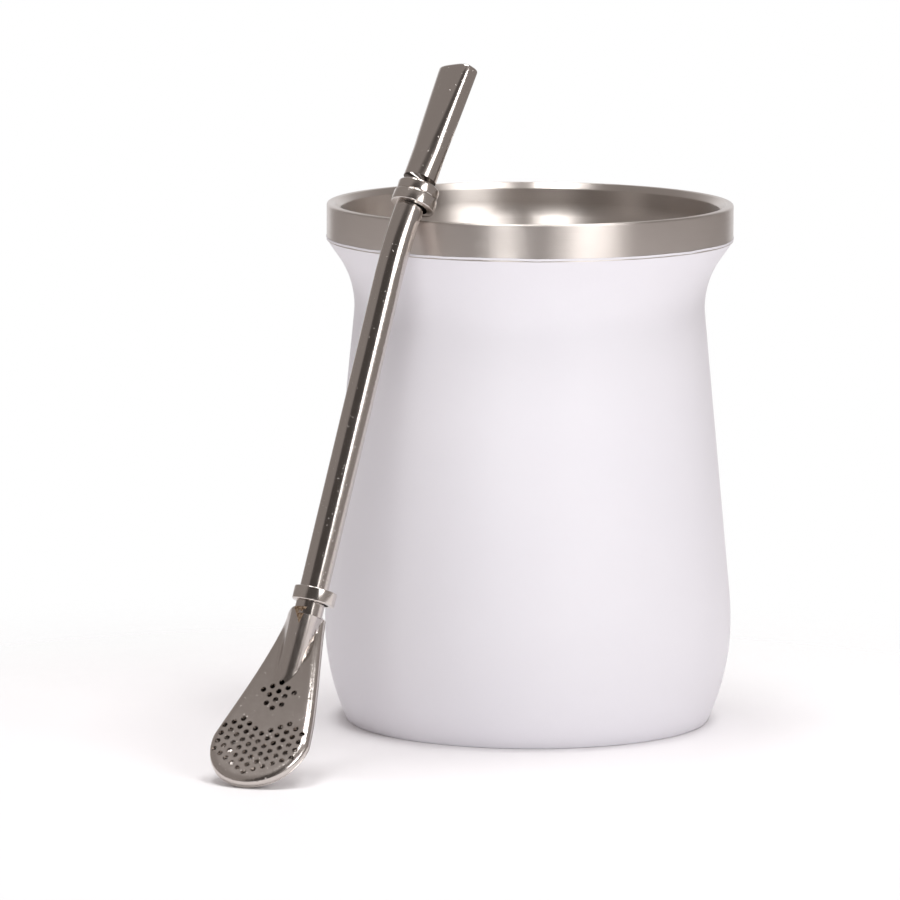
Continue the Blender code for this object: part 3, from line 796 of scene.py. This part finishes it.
def ease(part):
    """Go from 0 to 1 with a soft start and a soft end."""
    part = min(max(part, 0), 1)
    return part * part * (3 - 2 * part)


bm = bmesh.new()
draw_outline(bm, SEAM)
bmesh.ops.reverse_faces(bm, faces=bm.faces)
sunk = bmesh.ops.extrude_face_region(bm, geom=bm.faces[:])["geom"]
bmesh.ops.delete(bm, geom=[bm.faces[:][0]], context="FACES_ONLY")
bmesh.ops.translate(bm, vec=(0, 0, -BACK_SIDE), verts=only_verts(sunk))
cut_off(bm, ALONG * NECK_CUT, ALONG)
cut_in_strips(bm, ALONG, first=-11.4, last=NECK_CUT, width=0.6)
cut_in_strips(bm, ACROSS, first=-9.6, last=9.6, width=0.6)
lip = SEAM - BACK_SIDE
for vert in bm.verts:
    if vert.co.z < lip + 1e-4:
        inwards = math.sin(math.pi / 2 * min(from_rim(vert.co.x, vert.co.y) / DISH_WIDTH, 1))
        down = ease((NECK_CUT - vert.co.y) / (NECK_CUT - BOWL.y))
        dished = lip - DISH * (NECK_DEPTH + (1 - NECK_DEPTH) * down) * inwards
        pinch = ease((vert.co.y - PINCH_FROM) / (NECK_CUT - PINCH_FROM))
        flat_neck = lip + (PINCHED - lip) * min(inwards * 2, 1)
        vert.co.z = dished + (flat_neck - dished) * pinch
bend_spoon(bm)
back = make_piece("filter_spoon_back", bm, sheet_polish, "filter_back", straw_place)
add_sheet_wall(back)

# %% [markdown]
# ## The braze on the neck
# The sheet was brazed to the tube at the end of the half cone, and a little brass-coloured braze was left
# there with a rough, grainy skin. It is a small grid on the flat drawing, cut to a triangle, laid over the
# half cone and roughened with noise.

# %% Leave the braze
braze_finish, shader = start_finish("old_braze", (0.30, 0.235, 0.165), 0.85, 0.42)
spots = add_node(braze_finish, "ShaderNodeTexNoise", {"Scale": 2.2, "Detail": 5.0, "Roughness": 0.7})
join(braze_finish, own_mm(braze_finish), spots.inputs["Vector"])
tints = add_node(braze_finish, "ShaderNodeValToRGB")
tints.color_ramp.elements[0].position = 0.38
tints.color_ramp.elements[0].color = (0.13, 0.085, 0.05, 1)
tints.color_ramp.elements[1].position = 0.62
tints.color_ramp.elements[1].color = (0.52, 0.42, 0.31, 1)
warm = tints.color_ramp.elements.new(0.5)
warm.color = (0.30, 0.20, 0.13, 1)
join(braze_finish, spots.outputs["Fac"], tints.inputs["Fac"])
join(braze_finish, tints.outputs["Color"], shader.inputs["Base Color"])
rough_skin = bump_from(braze_finish, spots.outputs["Fac"], 0.12, 0.8)
join(braze_finish, rough_skin.outputs["Normal"], shader.inputs["Normal"])
BRAZE_CORNERS = [Vector((-1.35, 26.0, 0)), Vector((0.5, 22.9, 0)), Vector((1.5, 26.0, 0))]
BRAZE_MIDDLE, BRAZE_REACH = (-0.15, 24.4, 0), 1.8
BRAZE_HEIGHT, BRAZE_GRAIN, EDGE_SUNK = 0.09, 0.06, 0.02
bm = bmesh.new()
at = Matrix.Translation(BRAZE_MIDDLE)
bmesh.ops.create_grid(bm, x_segments=28, y_segments=34, size=BRAZE_REACH, matrix=at)
for start, end in zip(BRAZE_CORNERS, BRAZE_CORNERS[1:] + BRAZE_CORNERS[:1]):
    cut_off(bm, start, (end - start).cross(Vector((0, 0, 1))))
for vert in bm.verts:
    raised = cone_height(vert.co.x, vert.co.y)
    grain = noise.noise(vert.co * 2.1) * BRAZE_GRAIN
    vert.co.z = raised + (-EDGE_SUNK if vert.is_boundary else BRAZE_HEIGHT + grain)
    vert.co.x += CONE_LEAN_ASIDE * raised
bend_spoon(bm)
braze = make_piece("neck_braze", bm, braze_finish, None, straw_place)

# %% [markdown]
# ## The floor
# The cup stands on a plain white table top. Far from the cup the table fades into the white background, so
# that only a soft shadow near the object tells where it stands. The steel still mirrors the whole table.

# %% Lay the table top
TABLE_RADIUS = 380
FADE = {"From Min": 0.06, "From Max": 0.21}
bm = bmesh.new()
bmesh.ops.create_circle(bm, cap_ends=True, radius=TABLE_RADIUS, segments=96)
bmesh.ops.transform(bm, matrix=Matrix.Scale(MM, 4), verts=bm.verts)
table_mesh = bpy.data.meshes.new("table_top")
bm.to_mesh(table_mesh)
bm.free()
table = bpy.data.objects.new("table_top", table_mesh)
bpy.context.scene.collection.objects.link(table)
white, shader = start_finish("white_table", (0.93, 0.915, 0.93), 0.0, 0.6)
where = add_node(white, "ShaderNodeTexCoord")
away = add_node(white, "ShaderNodeVectorMath", {1: (-0.02, -0.05, 0)}, operation="DISTANCE")
join(white, where.outputs["Object"], away.inputs[0])
fade = add_node(white, "ShaderNodeMapRange", FADE, interpolation_type="SMOOTHSTEP")
join(white, away.outputs["Value"], fade.inputs["Value"])
clear = add_node(white, "ShaderNodeBsdfTransparent")
viewed = add_node(white, "ShaderNodeLightPath")
faded = add_node(white, "ShaderNodeMath", operation="MULTIPLY")
join(white, fade.outputs["Result"], faded.inputs[0])
join(white, viewed.outputs["Is Camera Ray"], faded.inputs[1])
blend = add_node(white, "ShaderNodeMixShader")
join(white, faded.outputs["Value"], blend.inputs["Fac"])
join(white, shader.outputs["BSDF"], blend.inputs[1])
join(white, clear.outputs["BSDF"], blend.inputs[2])
join(white, blend.outputs["Shader"], white.node_tree.nodes["Material Output"].inputs["Surface"])
table_mesh.materials.append(white)

# %% [markdown]
# ## The light
# A soft box stands in front on the right and two narrow ones hang overhead. Two low cards in front are what
# the upright band mirrors as its bright patches, while the leaning straw doesn't see them. The last box fills
# the coating from the front and isn't mirrored in the steel. The room is a dim brown-grey. It is darkest
# round the camera, which gives the polished steel its dark core, and it is white behind the cup, which
# lights up the edges of the steel.


# %% Hang the soft boxes
def heading_to(azimuth, elevation):
    """A direction from the cup. Azimuth 0 is the camera's side, to the right is positive."""
    across, up = math.radians(azimuth), math.radians(elevation)
    return Vector((math.sin(across) * math.cos(up), -math.cos(across) * math.cos(up), math.sin(up)))


def hang_box(name, azimuth, elevation, distance, width, height, power):
    """A rectangular soft box that faces the cup."""
    light = bpy.data.lights.new(name, "AREA")
    light.shape = "RECTANGLE"
    light.size = width
    light.size_y = height
    light.energy = power
    box = bpy.data.objects.new(name, light)
    bpy.context.scene.collection.objects.link(box)
    towards = heading_to(azimuth, elevation)
    box.location = Vector((0, 0, 0.06)) + towards * distance
    box.rotation_euler = towards.to_track_quat("Z", "Y").to_euler()
    return box


hang_box("right_box", 38, 24, 1.3, 0.56, 0.42, 4.5)
hang_box("top_left_box", -90, 82, 1.1, 0.60, 0.24, 4.5)
hang_box("top_right_box", 90, 75, 1.1, 0.60, 0.34, 4.5)
hang_box("low_left_card", -14, -7, 1.3, 0.32, 0.15, 1.9)
hang_box("low_right_card", 23, -7, 1.3, 0.44, 0.15, 1.1)
fill = hang_box("front_fill", -12, 22, 1.6, 0.8, 0.8, 5.5)
fill.visible_glossy = False

world = bpy.data.worlds.new("room")
bpy.context.scene.world = world
world.use_nodes = True
nodes, links = world.node_tree.nodes, world.node_tree.links
looking = nodes.new("ShaderNodeTexCoord")


def mix_towards(colour_below, heading, colour, outer, inner):
    """Another colour within a cone round a direction, blended in between two angles in degrees."""
    facing = nodes.new("ShaderNodeVectorMath")
    facing.operation = "DOT_PRODUCT"
    facing.inputs[1].default_value = heading
    links.new(looking.outputs["Generated"], facing.inputs[0])
    cone = nodes.new("ShaderNodeMapRange")
    cone.interpolation_type = "SMOOTHSTEP"
    cone.inputs["From Min"].default_value = math.cos(math.radians(outer))
    cone.inputs["From Max"].default_value = math.cos(math.radians(inner))
    links.new(facing.outputs["Value"], cone.inputs["Value"])
    mix = nodes.new("ShaderNodeMix")
    mix.data_type = "RGBA"
    links.new(cone.outputs["Result"], mix.inputs["Factor"])
    links.new(colour_below, mix.inputs["A"])
    mix.inputs["B"].default_value = (*colour, 1)
    return mix.outputs["Result"]


walls = nodes.new("ShaderNodeRGB")
walls.outputs["Color"].default_value = (0.33, 0.30, 0.285, 1)
colour = mix_towards(walls.outputs["Color"], heading_to(-10, 20), (0.085, 0.075, 0.07), 42, 26)
colour = mix_towards(colour, heading_to(180, 12), (0.85, 0.83, 0.83), 36, 22)
room = nodes["Background"]
links.new(colour, room.inputs["Color"])
backdrop = nodes.new("ShaderNodeBackground")
backdrop.inputs["Color"].default_value = (1, 1, 1, 1)
seen = nodes.new("ShaderNodeLightPath")
either = nodes.new("ShaderNodeMixShader")
links.new(seen.outputs["Is Camera Ray"], either.inputs["Fac"])
links.new(room.outputs["Background"], either.inputs[1])
links.new(backdrop.outputs["Background"], either.inputs[2])
links.new(either.outputs["Shader"], nodes["World Output"].inputs["Surface"])
bpy.context.scene.view_settings.view_transform = "Standard"
print(len(nodes), "nodes in the room")
